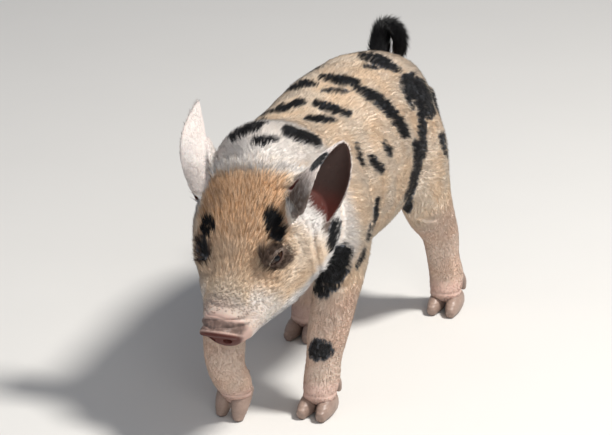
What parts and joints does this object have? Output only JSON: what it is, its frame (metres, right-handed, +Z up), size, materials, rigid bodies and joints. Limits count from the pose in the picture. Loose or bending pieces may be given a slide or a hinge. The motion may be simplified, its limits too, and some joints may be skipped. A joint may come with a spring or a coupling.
{
  "type": "walking piglet",
  "caption": "Still life-size piglet in a walking pose, head low, one foreleg on its toes; short pale coat with tan brow and dark spots.",
  "frame": {"origin": "middle of the bounding box's base, on the floor that the feet stand on", "axes": "+Z up, the animal faces -Y, its left side is +X"},
  "size_m": [0.1488, 0.3914, 0.2602],
  "materials": {
    "skin_torso": "short cream coat with black spots",
    "skin_neck": "short pale coat",
    "skin_head": "short tan coat",
    "skin_ear": "thin pink skin with fine hair",
    "skin_leg": "short pale coat over pink skin",
    "tail_hair": "black hair",
    "eye": "wet gloss",
    "claw": "dull horn"
  },
  "bodies": {
    "root": {"torso": "skin_torso", "neck": "skin_neck", "head": "skin_head", "tail": "tail_hair", "ear_left": "skin_ear", "eye_left": "eye", "ear_right": "skin_ear", "eye_right": "eye", "foreleg_left_upper": "skin_leg", "foreleg_left_lower": "skin_leg", "claw_left_of_foreleg_left": "claw", "claw_right_of_foreleg_left": "claw", "dewclaw_left_of_foreleg_left": "claw", "dewclaw_right_of_foreleg_left": "claw", "foreleg_right_upper": "skin_leg", "foreleg_right_lower": "skin_leg", "claw_left_of_foreleg_right": "claw", "claw_right_of_foreleg_right": "claw", "dewclaw_left_of_foreleg_right": "claw", "dewclaw_right_of_foreleg_right": "claw", "hindleg_left_upper": "skin_leg", "hindleg_left_lower": "skin_leg", "claw_left_of_hindleg_left": "claw", "claw_right_of_hindleg_left": "claw", "dewclaw_left_of_hindleg_left": "claw", "dewclaw_right_of_hindleg_left": "claw", "hindleg_right_upper": "skin_leg", "hindleg_right_lower": "skin_leg", "claw_left_of_hindleg_right": "claw", "claw_right_of_hindleg_right": "claw", "dewclaw_left_of_hindleg_right": "claw", "dewclaw_right_of_hindleg_right": "claw"}
  },
  "joints": []
}
